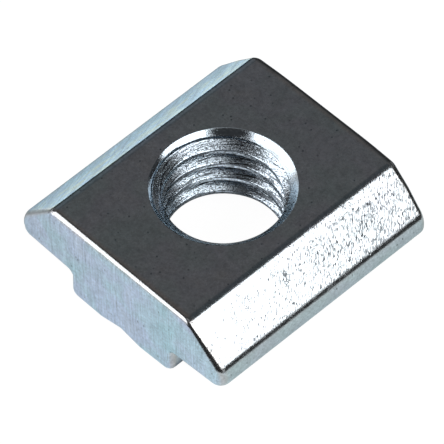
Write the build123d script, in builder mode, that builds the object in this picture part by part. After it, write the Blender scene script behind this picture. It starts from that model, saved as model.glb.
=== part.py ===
from build123d import *
import os

# T-slot nut for a 10 mm profile groove, threaded M10, bright zinc plated.
# One block cut from a drawn steel bar: a flange with two 45 degree shoulders
# on top, a boss below that enters the slot mouth, and one threaded bore.
# X runs across the slot, Y along it, and Z is the thread axis, pointing up.
# The origin is on the thread axis, in the flat face under the boss.

# Block
WIDTH = 20.25
LENGTH = 20.3
HEIGHT = 7.5
SHOULDER = 3.25  # rise and run of the 45 degree shoulders

# Boss
BOSS_WIDTH = 10.15
BOSS_HEIGHT = 2.35
GROOVE_WIDTH = 3.8  # shallow V groove along the boss face
GROOVE_DEPTH = 0.42

# Bore: M10 x 1.5 at its core diameter, countersunk 90 degrees at both mouths
CORE_DIAMETER = 8.5
UPPER_RIM_DIAMETER = 10.5
LOWER_RIM_DIAMETER = 11.2

# Roundings that drawing the bar and tumbling the blocks leave
BOSS_CORNER = 0.75
NOSE_UNDER = 1.0  # below and above the narrow upright sides of the flange
NOSE_OVER = 1.6
INNER_CORNER = 0.3
TOP_EDGE = 1.0
END_EDGE = 0.5
RIM_EDGE = 0.1

# Worked out from the above
half_width = WIDTH / 2
half_boss = BOSS_WIDTH / 2
half_groove = GROOVE_WIDTH / 2
half_top = half_width - SHOULDER
shoulder_foot = HEIGHT - SHOULDER
core_radius = CORE_DIAMETER / 2
upper_rim = UPPER_RIM_DIAMETER / 2
lower_rim = LOWER_RIM_DIAMETER / 2
wall_bottom = lower_rim - core_radius
wall_top = HEIGHT - (upper_rim - core_radius)


def corners_at(sketch, height):
    """Corners of the section at one height, from left to right."""
    level = sketch.vertices().filter_by(lambda corner: abs(corner.Y - height) < 0.001)
    return level.sort_by(Axis.X)


def outermost(corners):
    """The two corners farthest apart in a row of corners."""
    return [corners[0], corners[-1]]


with BuildPart() as t_slot_nut:
    # Drawn section, the same along the whole block
    with BuildSketch(Plane.XZ) as section:
        with BuildLine():
            Polyline(
                (0, GROOVE_DEPTH),
                (half_groove, 0),
                (half_boss, 0),
                (half_boss, BOSS_HEIGHT),
                (half_width, BOSS_HEIGHT),
                (half_width, shoulder_foot),
                (half_top, HEIGHT),
                (0, HEIGHT),
            )
            mirror(about=Plane.YZ)
        make_face()
        fillet(corners_at(section, HEIGHT), TOP_EDGE)
        fillet(corners_at(section, shoulder_foot), NOSE_OVER)
        fillet(corners_at(section, BOSS_HEIGHT)[1:-1], INNER_CORNER)
        fillet(outermost(corners_at(section, BOSS_HEIGHT)), NOSE_UNDER)
        fillet(outermost(corners_at(section, 0)), BOSS_CORNER)
    extrude(amount=LENGTH / 2, both=True)

    # Tumbled edges round both sawn ends
    sawn_ends = faces().filter_by(Axis.Y)
    fillet(sawn_ends.edges(), END_EDGE)

    # Bore with its two countersinks, the lower one wider than the boss
    with BuildSketch(Plane.XZ):
        with BuildLine():
            Polyline(
                (0, 0),
                (lower_rim, 0),
                (core_radius, wall_bottom),
                (core_radius, wall_top),
                (upper_rim, HEIGHT),
                (0, HEIGHT),
                close=True,
            )
        make_face()
    revolve(axis=Axis.Z, mode=Mode.SUBTRACT)
    upper_rim_edge = edges().filter_by(GeomType.CIRCLE).sort_by(Axis.Z)[-1]
    fillet(upper_rim_edge, RIM_EDGE)

t_slot_nut.part.label = "t_slot_nut"

os.makedirs("parts", exist_ok=True)
export_step(t_slot_nut.part, "parts/t_slot_nut.step")
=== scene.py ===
import math
from collections import namedtuple

import bmesh
import bpy
import numpy as np
from mathutils import Matrix, Vector


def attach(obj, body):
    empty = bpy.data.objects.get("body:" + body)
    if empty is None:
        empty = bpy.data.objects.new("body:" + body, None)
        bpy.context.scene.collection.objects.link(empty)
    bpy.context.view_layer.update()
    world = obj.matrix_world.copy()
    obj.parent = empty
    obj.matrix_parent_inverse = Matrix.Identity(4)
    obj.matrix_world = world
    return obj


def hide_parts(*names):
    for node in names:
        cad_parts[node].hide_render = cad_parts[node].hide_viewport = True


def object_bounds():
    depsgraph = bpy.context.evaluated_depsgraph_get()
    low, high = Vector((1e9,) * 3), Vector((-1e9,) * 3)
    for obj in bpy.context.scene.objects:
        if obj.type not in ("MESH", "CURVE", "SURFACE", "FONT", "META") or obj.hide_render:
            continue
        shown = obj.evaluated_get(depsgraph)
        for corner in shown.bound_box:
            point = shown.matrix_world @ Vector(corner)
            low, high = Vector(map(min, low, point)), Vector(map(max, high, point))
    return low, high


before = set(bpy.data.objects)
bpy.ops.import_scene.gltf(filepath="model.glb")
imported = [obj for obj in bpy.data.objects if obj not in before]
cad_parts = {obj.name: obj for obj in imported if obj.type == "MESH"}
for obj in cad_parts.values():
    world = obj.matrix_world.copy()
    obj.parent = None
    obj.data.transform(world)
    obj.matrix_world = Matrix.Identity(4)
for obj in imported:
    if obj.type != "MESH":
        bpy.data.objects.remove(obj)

# A T-slot nut with its boss on the ground: X across the slot, Y along it, Z up the thread.
# Shapes are in metres. The materials work in millimetres.
cad_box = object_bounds()
HALF_WIDTH, HALF_LENGTH, HEIGHT = cad_box[1]
MM = 0.001

# The drawn section
SHOULDER = 3.25 * MM
HALF_TOP = HALF_WIDTH - SHOULDER
SHOULDER_FOOT = HEIGHT - SHOULDER
HALF_BOSS = 5.075 * MM
BOSS_HEIGHT = 2.35 * MM
HALF_GROOVE = 1.9 * MM
GROOVE_DEPTH = 0.42 * MM

# How its corners are rounded
GROOVE_MOUTH = 1.2 * MM
GROOVE_BOTTOM = 0.3 * MM
BOSS_CORNER = 0.75 * MM
INNER_CORNER = 0.3 * MM
NOSE_UNDER = 1.0 * MM
NOSE_OVER = 1.6 * MM
TOP_EDGE = 1.0 * MM
ARC_STEPS = 10

# Tumbling wore the end edges. Away from its corners a straight edge has only a share of
# their wear, given here for the -Y and for the +Y end.
FLAT_SHARE = (1.0, 0.75)
CORNER_REACH = 1.5 * MM
FLAT_STEPS = 16

# The +Y end falls back a little from here to the tips of the flange.
TIP_START = HALF_TOP - 1.0 * MM
TIP_PULL = 0.24 * MM
TIP_CUTS = 8

# The M10 x 1.5 thread and its countersinks
CORE_RADIUS = 4.25 * MM
ROOT_RADIUS = 5.0 * MM
PITCH = 1.5 * MM
HALF_ROOT = PITCH / 10
FLANK_SLOPE = math.tan(math.radians(60))
ROOT_BLEND = 0.06 * MM
CREST_BLEND = 0.03 * MM
THREAD_TURN = 0.652
THREAD_FOOT = 0.45 * MM
THREAD_HEAD = HEIGHT - 0.2 * MM
UPPER_RIM = 5.25 * MM
LOWER_RIM = 5.6 * MM
RIM_EDGE = 0.1 * MM
RIM_ANGLES = (135, 125, 115, 105, 96)
PAST_MOUTH = 0.5 * MM
COLUMNS = 320
ROWS_PER_PITCH = 40

# Points of the bore that are closer than this are one.
SAME_PLACE = 1e-8

# Edges sharper than so many degrees stay sharp, and large flat faces keep their own normal.
SHARP_EDGE = 35
FLAT_FACE_WEIGHT = 100


# ---------------------------------------------------------------- block

Corner = namedtuple("Corner", "x z radius near_wear far_wear")


def block_corners():
    """Corners of the drawn section, anticlockwise seen from the -Y end.

    Each has its place, its rounding in the section, and the rounding that the end edge has
    there at the -Y and at the +Y end. The thin tips of the flange are worn most.
    """
    return [
        Corner(HALF_GROOVE, 0, GROOVE_MOUTH, 0.40 * MM, 0.35 * MM),
        Corner(HALF_BOSS, 0, BOSS_CORNER, 0.50 * MM, 0.40 * MM),
        Corner(HALF_BOSS, BOSS_HEIGHT, INNER_CORNER, 0.60 * MM, 0.50 * MM),
        Corner(HALF_WIDTH, BOSS_HEIGHT, NOSE_UNDER, 0.90 * MM, 0.52 * MM),
        Corner(HALF_WIDTH, SHOULDER_FOOT, NOSE_OVER, 0.80 * MM, 0.52 * MM),
        Corner(HALF_TOP, HEIGHT, TOP_EDGE, 0.40 * MM, 0.66 * MM),
        Corner(-HALF_TOP, HEIGHT, TOP_EDGE, 0.55 * MM, 0.60 * MM),
        Corner(-HALF_WIDTH, SHOULDER_FOOT, NOSE_OVER, 0.80 * MM, 0.95 * MM),
        Corner(-HALF_WIDTH, BOSS_HEIGHT, NOSE_UNDER, 0.90 * MM, 0.85 * MM),
        Corner(-HALF_BOSS, BOSS_HEIGHT, INNER_CORNER, 0.60 * MM, 0.50 * MM),
        Corner(-HALF_BOSS, 0, BOSS_CORNER, 0.50 * MM, 0.40 * MM),
        Corner(-HALF_GROOVE, 0, GROOVE_MOUTH, 0.40 * MM, 0.35 * MM),
        Corner(0, GROOVE_DEPTH, GROOVE_BOTTOM, 0.40 * MM, 0.35 * MM),
    ]


def corner_arc(before, corner, after):
    """Points round one corner of the section, each with its outward normal and its wear."""
    here = Vector((corner.x, corner.z))
    to_before = (Vector((before.x, before.z)) - here).normalized()
    to_after = (Vector((after.x, after.z)) - here).normalized()
    half_angle = to_before.angle(to_after) / 2
    centre = here + (to_before + to_after).normalized() * corner.radius / math.sin(half_angle)
    reach = corner.radius / math.tan(half_angle)
    start = (here + to_before * reach - centre).normalized()
    end = (here + to_after * reach - centre).normalized()
    convex = to_before.cross(to_after) < 0
    wear = (corner.near_wear, corner.far_wear)
    arc = []
    for step in range(ARC_STEPS + 1):
        spoke = start.slerp(end, step / ARC_STEPS)
        normal = spoke if convex else -spoke
        arc.append((centre + spoke * corner.radius, normal, wear))
    return arc


def straight_part(first, last):
    """Points between two arcs, with less wear the further they are from both."""
    length = (last[0] - first[0]).length
    points = []
    for step in range(1, FLAT_STEPS):
        along = step / FLAT_STEPS
        from_corner = min(along, 1 - along) * length
        eased = 1 - math.exp(-(from_corner / CORNER_REACH) ** 2)
        wear = []
        for start, end, share in zip(first[2], last[2], FLAT_SHARE):
            full = start + (end - start) * along
            wear.append(full * (1 - (1 - share) * eased))
        points.append((first[0].lerp(last[0], along), first[1], wear))
    return points


def rounded_outline(corners):
    """Points all round the section, each with its outward normal and its wear at both ends."""
    arcs = []
    for index, corner in enumerate(corners):
        after = corners[(index + 1) % len(corners)]
        arcs.append(corner_arc(corners[index - 1], corner, after))
    outline = []
    for arc, following in zip(arcs, arcs[1:] + arcs[:1]):
        outline += arc + straight_part(arc[-1], following[0])
    return outline


def pulled_back(x):
    """How far the +Y end falls back at an x, toward the tips of the flange."""
    out = max(0.0, (abs(x) - TIP_START) / (HALF_WIDTH - TIP_START))
    return TIP_PULL * out * math.sqrt(out)


def end_rings(outline, side):
    """Rings of the worn edge at the end on one side, -1 or 1, in the order of their Y."""
    angles = [math.pi / 2 * step / ARC_STEPS for step in range(ARC_STEPS + 1)]
    if side < 0:
        angles.reverse()
    rings = []
    for angle in angles:
        ring = []
        for place, normal, (near_wear, far_wear) in outline:
            wear = near_wear if side < 0 else far_wear
            inner = place - normal * wear * (1 - math.cos(angle))
            reach = HALF_LENGTH - wear * (1 - math.sin(angle))
            if side > 0:
                reach -= pulled_back(place.x)
            ring.append((inner.x, side * reach, inner.y))
        rings.append(ring)
    return rings


def split_across(mesh, faces, x):
    """Cut faces at an x, so that a bent end is made of narrow flat ones."""
    edges = {edge for face in faces for edge in face.edges}
    corners = {corner for face in faces for corner in face.verts}
    geometry = [*faces, *edges, *corners]
    cut = bmesh.ops.bisect_plane(mesh, geom=geometry, plane_co=(x, 0, 0), plane_no=(1, 0, 0))
    return [part for part in cut["geom"] if isinstance(part, bmesh.types.BMFace)]


def block_mesh():
    """The block with its rounded section and its worn end edges, as a closed mesh."""
    outline = rounded_outline(block_corners())
    mesh = bmesh.new()
    rings = end_rings(outline, -1) + end_rings(outline, 1)
    rows = [[mesh.verts.new(place) for place in ring] for ring in rings]
    for row, following in zip(rows, rows[1:]):
        for index in range(len(row)):
            after = (index + 1) % len(row)
            mesh.faces.new((row[index], row[after], following[after], following[index]))
    mesh.faces.new(reversed(rows[0]))
    far_end = [mesh.faces.new(rows[-1])]
    for step in range(1, TIP_CUTS):
        x = TIP_START + (HALF_WIDTH - TIP_START) * step / TIP_CUTS
        far_end = split_across(mesh, far_end, -x)
        far_end = split_across(mesh, far_end, x)
    bmesh.ops.recalc_face_normals(mesh, faces=mesh.faces)
    return mesh


# ---------------------------------------------------------------- bore

def soft_max(a, b, blend):
    """The larger of two numbers, with the corner where they meet rounded."""
    return (a + b + np.sqrt((a - b) ** 2 + blend ** 2)) / 2


def soft_min(a, b, blend):
    """The smaller of two numbers, with the corner where they meet rounded."""
    return -soft_max(-a, -b, blend)


def bore_radius(height, turn):
    """Radius of the tapped, countersunk bore at a height and a turn round the axis."""
    across = (height / PITCH - turn - THREAD_TURN) % 1.0
    from_root = np.abs(across - 0.5) * PITCH
    flank = ROOT_RADIUS - (from_root - HALF_ROOT) * FLANK_SLOPE
    groove = soft_min(flank, ROOT_RADIUS, ROOT_BLEND)
    thread = soft_max(groove, CORE_RADIUS, CREST_BLEND)
    upper = UPPER_RIM - (HEIGHT - height)
    lower = LOWER_RIM - height
    return soft_max(thread, np.maximum(upper, lower), CREST_BLEND)


def thread_rings():
    """(radii, heights) of the rings of the thread: each climbs one pitch in its turn."""
    turn = np.arange(COLUMNS) / COLUMNS
    row_count = int((THREAD_HEAD - THREAD_FOOT) / PITCH * ROWS_PER_PITCH) + ROWS_PER_PITCH + 2
    row = np.arange(row_count)[:, None]
    height = THREAD_FOOT + (row / ROWS_PER_PITCH - 1 + turn) * PITCH
    height = np.clip(height, THREAD_FOOT, THREAD_HEAD)
    return list(zip(bore_radius(height, turn), height))


def mouth_rings(rim, face, inward):
    """(radii, heights) of the rings that round a countersink's mouth, from the cone outwards.

    The mouth is in the face at a height, and inward is 1 or -1, the way into the bore.
    """
    middle = rim + RIM_EDGE * (math.sqrt(2) - 1)
    rings = []
    for degrees in RIM_ANGLES:
        angle = math.radians(degrees)
        depth = RIM_EDGE * (1 - math.sin(angle))
        rings.append((middle + RIM_EDGE * math.cos(angle), depth))
    rings.append((middle + PAST_MOUTH, -PAST_MOUTH))
    return [(np.full(COLUMNS, radius), np.full(COLUMNS, face + inward * depth))
            for radius, depth in rings]


def bore_mesh():
    """A plug with the thread on it, which is cut out of the block."""
    below = mouth_rings(LOWER_RIM, 0.0, 1)[::-1]
    thread = thread_rings()
    above = mouth_rings(UPPER_RIM, HEIGHT, -1)
    first, last = len(below), len(below) + len(thread) - 1

    def beside(index, column):
        """The ring that this one runs into: at the seam, the one a pitch higher."""
        if column < COLUMNS - 1 or not first <= index <= last:
            return index
        return min(index + ROWS_PER_PITCH, last)

    angle = 2 * math.pi * np.arange(COLUMNS) / COLUMNS
    mesh = bmesh.new()
    grid = []
    for radii, heights in below + thread + above:
        places = zip(radii * np.cos(angle), radii * np.sin(angle), heights)
        grid.append([mesh.verts.new(place) for place in places])
    for index in range(len(grid) - 1):
        for column in range(COLUMNS):
            after = (column + 1) % COLUMNS
            lower = grid[beside(index, column)]
            upper = grid[beside(index + 1, column)]
            corners = (grid[index][column], lower[after], upper[after], grid[index + 1][column])
            mesh.faces.new(dict.fromkeys(corners))
    mesh.faces.new(reversed(grid[0]))
    mesh.faces.new(grid[-1])
    bmesh.ops.remove_doubles(mesh, verts=mesh.verts, dist=SAME_PLACE)
    bmesh.ops.recalc_face_normals(mesh, faces=mesh.faces)
    return mesh


def as_object(name, mesh):
    """A new object in the scene that has this mesh."""
    data = bpy.data.meshes.new(name)
    mesh.to_mesh(data)
    mesh.free()
    thing = bpy.data.objects.new(name, data)
    bpy.context.scene.collection.objects.link(thing)
    return thing


def cut_out(thing, cutter):
    """Take the cutter's shape away from a thing, then the cutter itself away."""
    cut = thing.modifiers.new("cut", "BOOLEAN")
    cut.operation = "DIFFERENCE"
    cut.solver = "MANIFOLD"
    cut.object = cutter
    graph = bpy.context.evaluated_depsgraph_get()
    data = bpy.data.meshes.new_from_object(thing.evaluated_get(graph))
    data.materials.clear()
    thing.modifiers.clear()
    thing.data = data
    bpy.data.objects.remove(cutter)


def shade_smooth(thing):
    """Smooth shading that keeps flat faces flat and sharp edges sharp."""
    thing.data.shade_smooth()
    thing.data.set_sharp_from_angle(angle=math.radians(SHARP_EDGE))
    smooth = thing.modifiers.new("smooth", "WEIGHTED_NORMAL")
    smooth.keep_sharp = True
    smooth.weight = FLAT_FACE_WEIGHT


block = as_object("nut_block", block_mesh())
cut_out(block, as_object("bore_plug", bore_mesh()))
shade_smooth(block)
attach(block, "root")
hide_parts("t_slot_nut")


# ---------------------------------------------------------------- shader nodes

# A noise pattern has so many waves a millimetre, alike all ways or given along (x, y, z).
Pattern = namedtuple("Pattern", "waves detail roughness distortion", defaults=(2.0, 0.5, 0.0))

# Noise seldom leaves this range.
NOISE_LOW = 0.3
NOISE_HIGH = 0.7


def grey(level):
    """The colour that is equally bright in red, green and blue."""
    return (level, level, level)


class Nodes:
    """Short names for the shader nodes that the materials here are made of."""

    def __init__(self, tree):
        self.tree = tree

    def set(self, socket, value):
        """Link a socket to another or give it a value, which is opaque if it is a colour."""
        if isinstance(value, bpy.types.NodeSocket):
            self.tree.links.new(value, socket)
        elif socket.type == "RGBA":
            socket.default_value = (*value, 1)
        else:
            socket.default_value = value

    def make(self, kind, **inputs):
        """A node with some inputs set; an input's name is written with _ for each space."""
        node = self.tree.nodes.new(kind)
        for name, value in inputs.items():
            self.set(node.inputs[name.replace("_", " ")], value)
        return node

    def math(self, operation, *values):
        """Arithmetic on numbers."""
        node = self.tree.nodes.new("ShaderNodeMath")
        node.operation = operation
        for socket, value in zip(node.inputs, values):
            self.set(socket, value)
        return node.outputs["Value"]

    def vector(self, operation, *values):
        """Vector arithmetic, which gives a number for a length or a dot product."""
        node = self.tree.nodes.new("ShaderNodeVectorMath")
        node.operation = operation
        for socket, value in zip(node.inputs, values):
            self.set(socket, value)
        output = "Value" if operation in ("LENGTH", "DOT_PRODUCT") else "Vector"
        return node.outputs[output]

    def millimetres(self):
        """The place on the object, in millimetres."""
        place = self.make("ShaderNodeTexCoord").outputs["Object"]
        return self.stretch(place, 1 / MM, 1 / MM, 1 / MM)

    def combine(self, x, y, z=0.0):
        """A vector made of its three parts."""
        return self.make("ShaderNodeCombineXYZ", X=x, Y=y, Z=z).outputs["Vector"]

    def split(self, vector):
        """The X, Y and Z of a vector."""
        return self.make("ShaderNodeSeparateXYZ", Vector=vector).outputs

    def stretch(self, place, x, y, z):
        """A place multiplied along each axis."""
        return self.vector("MULTIPLY", place, (x, y, z))

    def noise(self, place, pattern):
        """Noise in one of the patterns, from 0 to 1."""
        waves = pattern.waves
        if isinstance(waves, tuple):
            place = self.stretch(place, *waves)
            waves = 1.0
        node = self.make("ShaderNodeTexNoise", Vector=place, Scale=waves, Detail=pattern.detail,
                         Roughness=pattern.roughness, Distortion=pattern.distortion)
        return node.outputs["Fac"]

    def cells(self, place, per_mm):
        """Distance to the middle of the nearest random cell."""
        return self.make("ShaderNodeTexVoronoi", Vector=place, Scale=per_mm).outputs["Distance"]

    def step(self, value, low, high):
        """0 up to low, 1 from high on, smooth between; low may be the larger."""
        node = self.make("ShaderNodeMapRange", Value=value, From_Min=low, From_Max=high)
        node.interpolation_type = "SMOOTHSTEP"
        return node.outputs["Result"]

    def scaled(self, value, low, high):
        """A value from 0 to 1 spread from low to high."""
        node = self.make("ShaderNodeMapRange", Value=value, To_Min=low, To_Max=high)
        return node.outputs["Result"]

    def swing(self, noise, reach):
        """Noise spread evenly between -reach and reach."""
        node = self.make("ShaderNodeMapRange", Value=noise, From_Min=NOISE_LOW, From_Max=NOISE_HIGH,
                         To_Min=-reach, To_Max=reach)
        return node.outputs["Result"]

    def ramp(self, value, *stops):
        """Colours along a value, each stop a place and a colour."""
        node = self.make("ShaderNodeValToRGB", Fac=value)
        elements = node.color_ramp.elements
        while len(elements) < len(stops):
            elements.new(0.5)
        for element, (place, colour) in zip(elements, stops):
            element.position = place
            element.color = (*colour, 1)
        return node.outputs["Color"]

    def mix(self, factor, first, second, blend="MIX"):
        """The first colour at a factor of 0, the second at 1."""
        node = self.tree.nodes.new("ShaderNodeMix")
        node.data_type = "RGBA"
        node.blend_type = blend
        self.set(node.inputs["Factor"], factor)
        colours = [socket for socket in node.inputs if socket.type == "RGBA"]
        self.set(colours[0], first)
        self.set(colours[1], second)
        return next(socket for socket in node.outputs if socket.type == "RGBA")

    def total(self, first, *rest):
        """The sum of some values."""
        for value in rest:
            first = self.math("ADD", first, value)
        return first

    def product(self, first, *rest):
        """The product of some values."""
        for value in rest:
            first = self.math("MULTIPLY", first, value)
        return first

    def most(self, first, *rest):
        """The largest of some values."""
        for value in rest:
            first = self.math("MAXIMUM", first, value)
        return first

    def absolute(self, value):
        """A value without its sign."""
        return self.math("ABSOLUTE", value)

    def away_from(self, value, place):
        """How far a value is from a place, either way."""
        return self.absolute(self.total(value, -place))

    def without(self, mask):
        """1 where a mask is 0, and 0 where it is 1."""
        return self.math("SUBTRACT", 1.0, mask)


# ---------------------------------------------------------------- zinc

# Soft edges are pairs here and below: a mask is 0 up to the first value, 1 from the second on.
# These are parts or products of the surface's normal.
FACES_END = (0.6, 0.9)
FACES_SIDEWAYS = (0.8, 0.95)
FACES_UP = (0.9, 0.98)
FACES_RIGHT = (0.1, 0.2)
FACES_LEFT = (-0.1, -0.2)
SLANTED = (0.3, 0.45)

# These are millimetres: along Y, from the axis, outward from the axis, and up.
NEAR_END = (9.3, 9.8)
IN_BORE = (5.8, 5.65)
OFF_BORE = (5.6, 5.9)
TOWARD_AXIS = (-0.4, -1.2)
TOOLED_HEIGHT = (7.35, 6.65)

# The thin film's colours along its drift, on the block and, deeper, on the left shoulder
FILM = (
    (0.32, (0.47, 0.65, 0.71)),      # cyan
    (0.46, (0.53, 0.66, 0.75)),
    (0.55, (0.56, 0.64, 0.78)),      # blue
    (0.64, (0.575, 0.645, 0.76)),    # lilac
    (0.76, (0.63, 0.65, 0.63)),      # straw
)
LEFT_FILM = (
    (0.36, (0.33, 0.57, 0.70)),      # cyan
    (0.48, (0.36, 0.55, 0.77)),      # blue
    (0.58, (0.44, 0.63, 0.71)),
    (0.68, (0.56, 0.68, 0.62)),      # straw
)
FILM_RANGE = (0.1, 0.9)
FILM_DRIFT = Pattern(0.3, 2.0, 0.45, 0.3)
LEFT_DRIFT = Pattern((1.4, 0.55, 1.4), 3.0, 0.6)

# Where the film leans toward blue (less) or straw (more), and by how much
END_SHIFT = -0.04
END_LILAC_X = -3.5
END_LILAC_EDGE = (4.5, 1.0)
END_LILAC_SHIFT = 0.09
LEFT_SHIFT = -0.17
LEFT_TOP = (6.6, 7.4)
LEFT_TOP_SHIFT = 0.22
LEFT_RISE = (4.3, 7.0)
LEFT_RISE_SHIFT = (-0.07, 0.07)

# What single surfaces tend to, and how much of the film that hides
RIGHT_SHOULDER_TINT = (0.68, 0.71, 0.73)
RIGHT_SHOULDER_COVER = 0.8
LEFT_SHOULDER_COVER = 0.85
SIDE_TINT = (0.55, 0.645, 0.68)
SIDE_COVER = 0.6
TOP_TINT = (0.58, 0.70, 0.79)
TOP_COVER = 0.5
END_EDGE_TINT = (0.58, 0.545, 0.51)
END_EDGE_COVER = 0.65
BORE_TINT = (0.63, 0.71, 0.78)
BORE_COVER = 0.8
GRAZING_TINT = (0.90, 0.98, 1.0)

# Patterns of light and dark, and how far each one swings
PATCHES = Pattern(1.3)
PATCHES_SWING = 0.08
MOTTLE = Pattern(5.0, 4.0, 0.75)
MOTTLE_SWING = 0.22
SAWN = Pattern((6.0, 1.0, 0.35), 3.0, 0.65)
SAWN_SWING = 0.17
SLOPE_GRAIN = Pattern((0.7, 6.0, 0.7), 3.0, 0.6)
SLOPE_GRAIN_SWING = 0.04
LEANING = Pattern(1.0, 4.0, 0.7, 0.3)
LEANING_SWING = 0.30
LEANING_SLOPE = 1.1
LEANING_ACROSS = 1.9
LEANING_ALONG = 0.3

# Pits: random cells, of which the middles show as dents and, darkened, as painted shade
PIT_CELLS = 1.7
PIT_STRETCH = (1.0, 1.0, 0.55)
PIT_EDGE = (0.15, 0.07)
PIT_PATCHES = Pattern(0.8)
PIT_PATCHES_EDGE = (0.42, 0.55)
TINY_PIT_CELLS = 3.6
TINY_PIT_STRETCH = (1.0, 1.0, 0.6)
TINY_PIT_EDGE = (0.13, 0.08)
TINY_PIT_STRENGTH = 0.25

# Flecks of the right shoulder: dashes that lean, dented and darkened with painted shade, and where
# there are more or fewer of them
FLECKS = Pattern(1.0, 2.0, 0.55, 0.4)
FLECK_EDGE = (0.483, 0.418)
FLECK_LEAN = 0.45
FLECK_DOWN = 2.4
FLECK_ALONG = 9.5
FLECK_PATCHES = Pattern(0.9, 2.0, 0.6)
FLECK_PATCHES_SWING = 0.04
FLECK_LENGTHWAYS = (-10.0, 6.0)
FEWER_NEAR_MORE_FAR = (0.075, -0.036)
FLECK_FOOT = (5.2, 4.3)
MORE_AT_FOOT = (0.0, -0.05)
FLECK_TOP = (6.5, 7.2)
FEWER_AT_TOP = (0.0, 0.05)
FLECK_LOWEST = (4.45, 4.7)
FLECK_DEPTH = 0.85
FLECK_DEPTHS = Pattern(3.0)
FLECK_DEPTH_SWING = 0.35

# Fine torn lines of the right shoulder, and one longer ragged scar
RIDGES = Pattern((0.9, 1.8, 0.9), 4.0, 0.65, 0.6)
RIDGE_LEVEL = 0.5
RIDGE_EDGE = (0.010, 0.003)
LINE_PATCHES = Pattern(0.45, 1.0)
LINE_PATCHES_EDGE = (0.56, 0.62)
SCAR_Y = -1.57
SCAR_Z = 6.05
SCAR_LEAN = 0.2
SCAR_RAGGED = Pattern((2.0, 2.0, 2.0), 3.0, 0.7)
SCAR_RAGGED_SWING = 0.30
SCAR_HALF_WIDTH = (0.10, 0.04)
SCAR_HALF_HEIGHT = (0.75, 0.5)

# Marks of the tools in the bore and of the saw on the ends
RINGS = Pattern((0.35, 0.35, 15.0), 2.0, 0.6)
RINGS_EDGE = (0.445, 0.405)
GRIT = Pattern((6.5, 6.5, 13.0), 3.0, 0.7)
GRIT_EDGE = (0.455, 0.415)
SAW_LINES = Pattern((6.5, 1.0, 0.3), 1.0)
SAW_LINES_EDGE = (0.28, 0.22)

# The dark colour of marks, and how much of it each kind shows; in pits and flecks this dark is
# painted shade of their hollows
MARK_AND_PIT_SHADE_COLOUR = (0.03, 0.034, 0.04)
PIT_SHADE_COVER = 0.6
MARK_COVER = 0.92
TOOL_COVER = 0.85
SAW_COVER = 0.45

# How deep the marks are in millimetres, and the share of it that the shallow ones have
MARK_DEPTH = 0.008
SHALLOW_MARK = 0.4
SHALLOW_TOOL_MARK = 0.6

# Fine relief, and how far each pattern swings in millimetres
GRAIN = Pattern(9.0, 3.0, 0.6)
GRAIN_RELIEF = 0.0009
BORE_GRAIN = Pattern(9.0, 3.0, 0.7)
BORE_RELIEF = 0.0008
SAWN_RELIEF = 0.003
TURNED = Pattern((0.4, 0.4, 20.0), 2.0, 0.6)
TURNED_RELIEF = 0.0016
TORN = Pattern((8.0, 8.0, 14.0), 2.0, 0.6)
TORN_RELIEF = 0.0021

# Roughness of the block's brightest and dullest spots, and of the bore
GLOSS = Pattern(2.2, 4.0, 0.6)
GLOSS_RANGE = (0.08, 0.24)
BORE_ROUGHNESS = 0.05


class Places:
    """Where on the nut a point is: masks from 0 to 1, and coordinates in millimetres."""

    def __init__(self, n):
        self.place = n.millimetres()
        self.x, self.y, self.z = n.split(self.place)
        normal = n.make("ShaderNodeNewGeometry").outputs["Normal"]
        facing = n.split(normal)
        sideways = n.absolute(facing["X"])
        self.end = n.step(n.absolute(facing["Y"]), *FACES_END)
        self.side = n.step(sideways, *FACES_SIDEWAYS)
        self.top = n.step(facing["Z"], *FACES_UP)
        self.end_edge = n.product(n.step(n.absolute(self.y), *NEAR_END), n.without(self.end))

        from_axis = n.stretch(self.place, 1, 1, 0)
        reach = n.vector("LENGTH", from_axis)
        outward = n.vector("DOT_PRODUCT", normal, from_axis)
        self.bore = n.product(n.step(reach, *IN_BORE), n.step(outward, *TOWARD_AXIS))
        self.tooled = n.product(self.bore, n.step(self.z, *TOOLED_HEIGHT))

        slant = n.product(sideways, facing["Z"], n.step(reach, *OFF_BORE))
        shoulder = n.step(slant, *SLANTED)
        self.right_shoulder = n.product(shoulder, n.step(facing["X"], *FACES_RIGHT))
        self.left_shoulder = n.product(shoulder, n.step(facing["X"], *FACES_LEFT))


def film_colour(n, on):
    """The film's colour, which drifts between cyan, blue, lilac and a little straw."""
    drift = n.scaled(n.noise(on.place, FILM_DRIFT), *FILM_RANGE)
    lilac = n.step(n.away_from(on.x, END_LILAC_X), *END_LILAC_EDGE)
    end_shift = n.total(END_SHIFT, n.product(lilac, END_LILAC_SHIFT))
    left_top = n.step(on.z, *LEFT_TOP)
    left_shift = n.total(LEFT_SHIFT, n.product(left_top, LEFT_TOP_SHIFT))
    drift = n.total(drift, n.product(on.end, end_shift), n.product(on.left_shoulder, left_shift))
    return n.ramp(drift, *FILM)


def left_film_colour(n, on):
    """Blue at the left shoulder's foot, and here and there straw toward its top."""
    rise = n.scaled(n.step(on.z, *LEFT_RISE), *LEFT_RISE_SHIFT)
    return n.ramp(n.total(n.noise(on.place, LEFT_DRIFT), rise), *LEFT_FILM)


def leaning_grain(n, on):
    """Fine lines that lean down the left shoulder toward its +Y end."""
    across = n.total(on.x, on.z, n.product(on.y, LEANING_SLOPE))
    lines = n.combine(n.product(across, LEANING_ACROSS), n.product(on.y, LEANING_ALONG))
    return n.noise(lines, LEANING)


def film_shade(n, on):
    """Lighter and darker patches, and the fine grain of the ends and the shoulders."""
    return n.total(
        1.0,
        n.swing(n.noise(on.place, PATCHES), PATCHES_SWING),
        n.swing(n.noise(on.place, MOTTLE), MOTTLE_SWING),
        n.product(on.end, n.swing(n.noise(on.place, SAWN), SAWN_SWING)),
        n.product(on.right_shoulder, n.swing(n.noise(on.place, SLOPE_GRAIN), SLOPE_GRAIN_SWING)),
        n.product(on.left_shoulder, n.swing(leaning_grain(n, on), LEANING_SWING)),
    )


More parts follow.
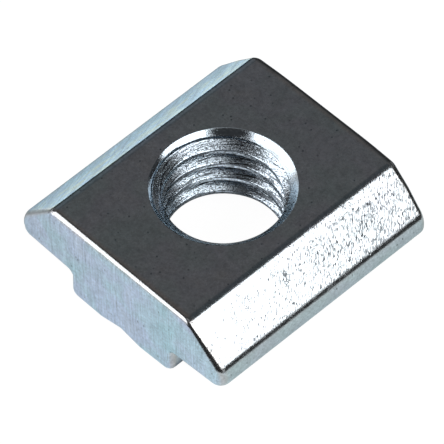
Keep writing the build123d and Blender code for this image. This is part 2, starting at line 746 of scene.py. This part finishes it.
def zinc_tint(n, on):
    """The plated metal's colour before it is marked."""
    tint = film_colour(n, on)
    for mask, cover, colour in (
        (on.right_shoulder, RIGHT_SHOULDER_COVER, RIGHT_SHOULDER_TINT),
        (on.left_shoulder, LEFT_SHOULDER_COVER, left_film_colour(n, on)),
        (on.side, SIDE_COVER, SIDE_TINT),
        (on.top, TOP_COVER, TOP_TINT),
        (on.end_edge, END_EDGE_COVER, END_EDGE_TINT),
        (on.bore, BORE_COVER, BORE_TINT),
    ):
        tint = n.mix(n.product(mask, cover), tint, colour)
    return n.mix(1.0, tint, film_shade(n, on), "MULTIPLY")


def pits(n, on):
    """Small pits, sparse over the whole block: dents, with painted shade in their dark middles."""
    small = n.step(n.cells(n.stretch(on.place, *PIT_STRETCH), PIT_CELLS), *PIT_EDGE)
    small = n.product(small, n.step(n.noise(on.place, PIT_PATCHES), *PIT_PATCHES_EDGE))
    tiny = n.step(n.cells(n.stretch(on.place, *TINY_PIT_STRETCH), TINY_PIT_CELLS), *TINY_PIT_EDGE)
    return n.most(small, n.product(tiny, TINY_PIT_STRENGTH))


def flecks(n, on):
    """Dents down the slope of the right shoulder, darkened with painted shade, crowded at its +Y end
    and its foot.
    """
    slope = n.math("SUBTRACT", on.x, on.z)
    leaning = n.total(on.y, n.product(slope, FLECK_LEAN))
    lines = n.combine(n.product(slope, FLECK_DOWN), n.product(leaning, FLECK_ALONG))
    level = n.total(
        n.noise(lines, FLECKS),
        n.swing(n.noise(on.place, FLECK_PATCHES), FLECK_PATCHES_SWING),
        n.scaled(n.step(on.y, *FLECK_LENGTHWAYS), *FEWER_NEAR_MORE_FAR),
        n.scaled(n.step(on.z, *FLECK_FOOT), *MORE_AT_FOOT),
        n.scaled(n.step(on.z, *FLECK_TOP), *FEWER_AT_TOP),
    )
    dashes = n.product(n.step(level, *FLECK_EDGE), n.step(on.z, *FLECK_LOWEST))
    depth = n.total(FLECK_DEPTH, n.swing(n.noise(on.place, FLECK_DEPTHS), FLECK_DEPTH_SWING))
    return n.product(dashes, depth, on.right_shoulder)


def torn_lines(n, on):
    """A few fine torn lines on the right shoulder."""
    from_ridge = n.away_from(n.noise(on.place, RIDGES), RIDGE_LEVEL)
    patches = n.step(n.noise(on.place, LINE_PATCHES), *LINE_PATCHES_EDGE)
    return n.product(n.step(from_ridge, *RIDGE_EDGE), patches, on.right_shoulder)


def scar(n, on):
    """The one longer ragged mark on the right shoulder."""
    leaning = n.product(n.math("SUBTRACT", on.x, on.z), SCAR_LEAN)
    ragged = n.swing(n.noise(on.place, SCAR_RAGGED), SCAR_RAGGED_SWING)
    across = n.away_from(n.total(on.y, leaning, ragged), SCAR_Y)
    width = n.step(across, *SCAR_HALF_WIDTH)
    height = n.step(n.away_from(on.z, SCAR_Z), *SCAR_HALF_HEIGHT)
    return n.product(width, height, on.right_shoulder)


def tool_marks(n, on):
    """Fine dark rings and grit that the tap and the countersink left in the bore."""
    rings = n.step(n.noise(on.place, RINGS), *RINGS_EDGE)
    grit = n.step(n.noise(on.place, GRIT), *GRIT_EDGE)
    return n.product(on.tooled, n.most(rings, grit))


def saw_lines(n, on):
    """A few dark lines down the sawn end faces."""
    return n.product(on.end, n.step(n.noise(on.place, SAW_LINES), *SAW_LINES_EDGE))


def zinc_relief(n, on, dents):
    """Height of the surface in millimetres."""
    turned = n.swing(n.noise(on.place, TURNED), TURNED_RELIEF)
    torn = n.swing(n.noise(on.place, TORN), TORN_RELIEF)
    return n.total(
        n.swing(n.noise(on.place, GRAIN), GRAIN_RELIEF),
        n.product(on.end, n.swing(n.noise(on.place, SAWN), SAWN_RELIEF)),
        n.product(dents, -MARK_DEPTH),
        n.product(on.tooled, n.total(turned, torn)),
        n.product(on.bore, n.swing(n.noise(on.place, BORE_GRAIN), BORE_RELIEF)),
    )


def zinc_material():
    """Bright zinc with a thin blue film over a drawn, sawn and tumbled block."""
    metal = bpy.data.materials.new("bright_zinc")
    metal.use_nodes = True
    shader = metal.node_tree.nodes["Principled BSDF"]
    n = Nodes(metal.node_tree)
    on = Places(n)
    spots = pits(n, on)
    # The flecks among these marks are darkened with painted shade.
    marks = n.most(flecks(n, on), torn_lines(n, on), scar(n, on))
    scored = tool_marks(n, on)
    cover = n.most(
        n.product(spots, PIT_SHADE_COVER),
        n.product(marks, MARK_COVER),
        n.product(scored, TOOL_COVER),
        n.product(saw_lines(n, on), SAW_COVER),
    )
    dents = n.most(spots, n.product(marks, SHALLOW_MARK))
    dents = n.total(dents, n.product(scored, SHALLOW_TOOL_MARK))
    gloss = n.scaled(n.noise(on.place, GLOSS), *GLOSS_RANGE)
    bump = n.make("ShaderNodeBump", Strength=1.0, Distance=MM, Height=zinc_relief(n, on, dents))
    # Pits and flecks darken the base colour here with painted shade.
    n.set(shader.inputs["Base Color"], n.mix(cover, zinc_tint(n, on), MARK_AND_PIT_SHADE_COLOUR))
    n.set(shader.inputs["Metallic"], 1.0)
    n.set(shader.inputs["Specular Tint"], GRAZING_TINT)
    n.set(shader.inputs["Roughness"], n.mix(on.bore, gloss, grey(BORE_ROUGHNESS)))
    n.set(shader.inputs["Normal"], bump.outputs["Normal"])
    return metal


block.data.materials.append(zinc_material())


# ---------------------------------------------------------------- floor

# Only some parts of the paper glow to the metal, with painted light and shade. Their soft
# edges are in millimetres, along X or Y, or away from the middle of the band or the glow.
PAPER_LEFT = (-33.0, -29.0)
PAPER_RIGHT = (60.0, 48.0)
PAPER_NEAR = (-85.0, -55.0)
PAPER_FAR = (22.0, 19.5)
CORNER_LEFT = (-4.0, -9.0)
CORNER_NEAR = (-18.0, -26.0)
BAND_Y = -8.2
BAND_EDGE = (5.0, 1.0)
BAND_LEFT = (-17.0, -19.0)
BAND_SHADE = 0.6
LEFT_PART = (-15.7, -21.3)
RIGHT_PART = (5.3, 5.8)
NEAR_PART = (-9.0, -10.2)
GLOW_CENTRE = (-0.75, 0.55, 0.0)
GLOW_EDGE = (1.7, 1.1)

# How bright each part glows to the metal, all painted light and shade, and the paper's own
# colour to light (painted dark where it is unlit) and to the eye.
UNLIT = grey(0.03)
# Painted shade on the paper under and around the nut.
PAINTED_SHADE_BY_NUT = grey(0.02)
LEFT_LIGHT = grey(0.83)
# A painted pool of light on the paper under the hole.
GLOW_LIGHT = (1.15, 1.17, 1.2)
RIGHT_LIGHT = (0.29, 0.295, 0.275)
NEAR_LIGHT = (0.335, 0.358, 0.378)
SEEN_WHITE = grey(0.97)
LIT_PAPER = grey(0.6)
UNLIT_PAPER = grey(0.04)
SEEN_PAPER = grey(0.12)
FLOOR_REACH = 0.4


def lit_paper(n, x, y):
    """Mask of the paper that glows with painted light to the metal: a broad sheet and its near left
    corner, but for a painted dim band.
    """
    sheet = n.product(n.step(x, *PAPER_LEFT), n.step(x, *PAPER_RIGHT), n.step(y, *PAPER_NEAR))
    corner = n.product(n.step(y, *CORNER_NEAR), n.step(x, *CORNER_LEFT))
    lit = n.product(n.most(sheet, corner), n.step(y, *PAPER_FAR))
    band = n.product(n.step(n.away_from(y, BAND_Y), *BAND_EDGE), n.step(x, *BAND_LEFT))
    return n.product(lit, n.without(n.product(band, BAND_SHADE)))


def paper_light(n, flat, lit):
    """Painted light and shade that the paper glows with to the metal: each part is set by the face
    that mirrors it.
    """
    x, y, _ = n.split(flat)
    light = n.mix(n.step(x, *LEFT_PART), PAINTED_SHADE_BY_NUT, LEFT_LIGHT)
    from_glow = n.vector("LENGTH", n.vector("SUBTRACT", flat, GLOW_CENTRE))
    light = n.mix(n.step(from_glow, *GLOW_EDGE), light, GLOW_LIGHT)
    light = n.mix(n.step(x, *RIGHT_PART), light, RIGHT_LIGHT)
    light = n.mix(n.step(y, *NEAR_PART), light, NEAR_LIGHT)
    return n.mix(lit, UNLIT, light)


def floor_material():
    """Paper that is white to the eye but for the nut's shadow, and glows to the metal with painted
    light and shade.
    """
    paper = bpy.data.materials.new("paper")
    paper.use_nodes = True
    paper.node_tree.nodes.clear()
    n = Nodes(paper.node_tree)
    flat = n.stretch(n.millimetres(), 1, 1, 0)
    x, y, _ = n.split(flat)
    lit = lit_paper(n, x, y)
    rays = n.make("ShaderNodeLightPath").outputs
    seen = n.most(rays["Is Camera Ray"], rays["Is Transmission Ray"])
    glow = n.mix(seen, paper_light(n, flat, lit), SEEN_WHITE)
    emission = n.make("ShaderNodeEmission", Color=glow, Strength=n.most(seen, rays["Is Glossy Ray"]))
    own = n.mix(seen, n.mix(lit, UNLIT_PAPER, LIT_PAPER), SEEN_PAPER)
    diffuse = n.make("ShaderNodeBsdfDiffuse", Color=own)
    both = n.make("ShaderNodeAddShader")
    n.set(both.inputs[0], emission.outputs[0])
    n.set(both.inputs[1], diffuse.outputs[0])
    n.make("ShaderNodeOutputMaterial", Surface=both.outputs[0])
    return paper


floor_mesh = bmesh.new()
bmesh.ops.create_grid(floor_mesh, size=FLOOR_REACH)
floor = as_object("floor", floor_mesh)
floor.data.materials.append(floor_material())


# ---------------------------------------------------------------- camera

# Angles are in degrees, the lens and the sensor in millimetres.
CAMERA_AZIMUTH = 47.152
CAMERA_ELEVATION = 51.333
CAMERA_ROLL = -1.62
CAMERA_DISTANCE = 408.786 * MM
AIM_LEFT = 0.08777 * MM
AIM_DOWN = 2.49803 * MM
LENS = 477.949
SENSOR = 36
CLIP_START = 0.01


def camera_axes():
    """Right, up and back of the camera, which looks down on the near right corner."""
    azimuth = math.radians(CAMERA_AZIMUTH)
    elevation = math.radians(CAMERA_ELEVATION)
    level = Vector((math.sin(azimuth), -math.cos(azimuth), 0))
    back = level * math.cos(elevation) + Vector((0, 0, math.sin(elevation)))
    right = Vector((math.cos(azimuth), math.sin(azimuth), 0))
    right = Matrix.Rotation(math.radians(CAMERA_ROLL), 3, back) @ right
    return right, back.cross(right), back


def add_camera():
    """A long lens, aimed a little below the middle of the top face."""
    right, up, back = camera_axes()
    data = bpy.data.cameras.new("camera")
    data.sensor_width = SENSOR
    data.lens = LENS
    data.clip_start = CLIP_START
    camera = bpy.data.objects.new("camera", data)
    place = Vector((0, 0, HEIGHT)) + back * CAMERA_DISTANCE - right * AIM_LEFT - up * AIM_DOWN
    axes = Matrix((right, up, back)).transposed().to_4x4()
    camera.matrix_world = Matrix.Translation(place) @ axes
    bpy.context.scene.collection.objects.link(camera)
    bpy.context.scene.camera = camera


# ---------------------------------------------------------------- world

# Part of the room: azimuths from +X toward +Y, and elevations, in degrees.
Patch = namedtuple("Patch", "first last foot head")
SIDE_BLUR = 3
FOOT_BLUR = 2
HEAD_BLUR = 3

# What lights the nut, each with its level, and what mirrors it in the picture. The dark room
# between them makes the dark top face and the black lines along the edges.
LIGHTS = (
    (Patch(-21, 44, 19, 58), 1.5),       # right softbox: the right shoulder
    (Patch(-38, 12, 57, 70), 0.675),     # its dimmer top: the far flanks of the thread
    (Patch(-160, -88, 22, 53), 1.2),     # left softbox: the far right of the countersink
    (Patch(-165, -118, 45, 60), 1.2),    # its top: the near end's upper edge
    (Patch(-158, -125, 3, 30), 1.2),     # its foot: the right of the countersink
    (Patch(140, 176, 6, 36), 0.07),      # faint panel: the top face's left edge
    (Patch(79, 107, -1, 15), 0.117),     # low cards, mostly for the other sides of the nut
    (Patch(172, 206, -1, 14), 0.26),
    (Patch(-16, 6, -1, 11), 0.26),
)
OVERHEAD = 0.15
OVERHEAD_EDGE = (0.955, 0.985)

# Two parts of the room differ from the rest: a warm wall under the left softbox, and a
# darker one between the softboxes, which the far side of the countersink mirrors.
WARM_PART = Patch(-164, -90, -3, 30)
WARM_WALL = (0.40, 0.365, 0.33)
DARK_PART = Patch(-98, -12, 26, 47)
DARK_WALL = grey(0.024)

# The rest of the room by the sine of the elevation. The top face mirrors 0.78.
ROOM = (
    (0.0, grey(0.008)),
    (0.3, grey(0.022)),
    (0.72, grey(0.05)),
    (0.78, (0.072, 0.0605, 0.0555)),
    (0.80, (0.070, 0.059, 0.054)),
    (0.88, grey(0.03)),
)
SEEN_ROOM = grey(0.6)
WORLD_STRENGTH = 1.8


def patch_mask(n, level, height, patch):
    """1 where a ray meets a patch. Level is the ray's azimuth, height its elevation's sine."""
    middle = math.radians((patch.first + patch.last) / 2)
    half_width = (patch.last - patch.first) / 2
    toward = n.vector("DOT_PRODUCT", level, (math.cos(middle), math.sin(middle), 0))
    outside = math.cos(math.radians(half_width + SIDE_BLUR))
    inside = math.cos(math.radians(half_width - SIDE_BLUR))
    below = math.sin(math.radians(patch.foot - FOOT_BLUR))
    over_foot = math.sin(math.radians(patch.foot + FOOT_BLUR))
    above = math.sin(math.radians(patch.head + HEAD_BLUR))
    under_head = math.sin(math.radians(patch.head - HEAD_BLUR))
    return n.product(
        n.step(toward, outside, inside),
        n.step(height, below, over_foot),
        n.step(height, above, under_head),
    )


def studio_world():
    """A dark room with two softboxes, low cards, a faint panel and a dim light overhead."""
    world = bpy.data.worlds.new("studio")
    world.use_nodes = True
    n = Nodes(world.node_tree)
    ray = n.make("ShaderNodeTexCoord").outputs["Generated"]
    height = n.split(ray)["Z"]
    level = n.vector("NORMALIZE", n.stretch(ray, 1, 1, 0))
    room = n.ramp(height, *ROOM)
    room = n.mix(patch_mask(n, level, height, WARM_PART), room, WARM_WALL)
    room = n.mix(patch_mask(n, level, height, DARK_PART), room, DARK_WALL)
    lights = n.product(n.step(height, *OVERHEAD_EDGE), OVERHEAD)
    for patch, strength in LIGHTS:
        lights = n.most(lights, n.product(patch_mask(n, level, height, patch), strength))
    wall = n.vector("MAXIMUM", room, lights)
    is_camera = n.make("ShaderNodeLightPath").outputs["Is Camera Ray"]
    background = world.node_tree.nodes["Background"]
    n.set(background.inputs["Color"], n.mix(is_camera, wall, SEEN_ROOM))
    n.set(background.inputs["Strength"], WORLD_STRENGTH)
    return world


add_camera()
bpy.context.scene.world = studio_world()
bpy.context.scene.view_settings.view_transform = "Standard"
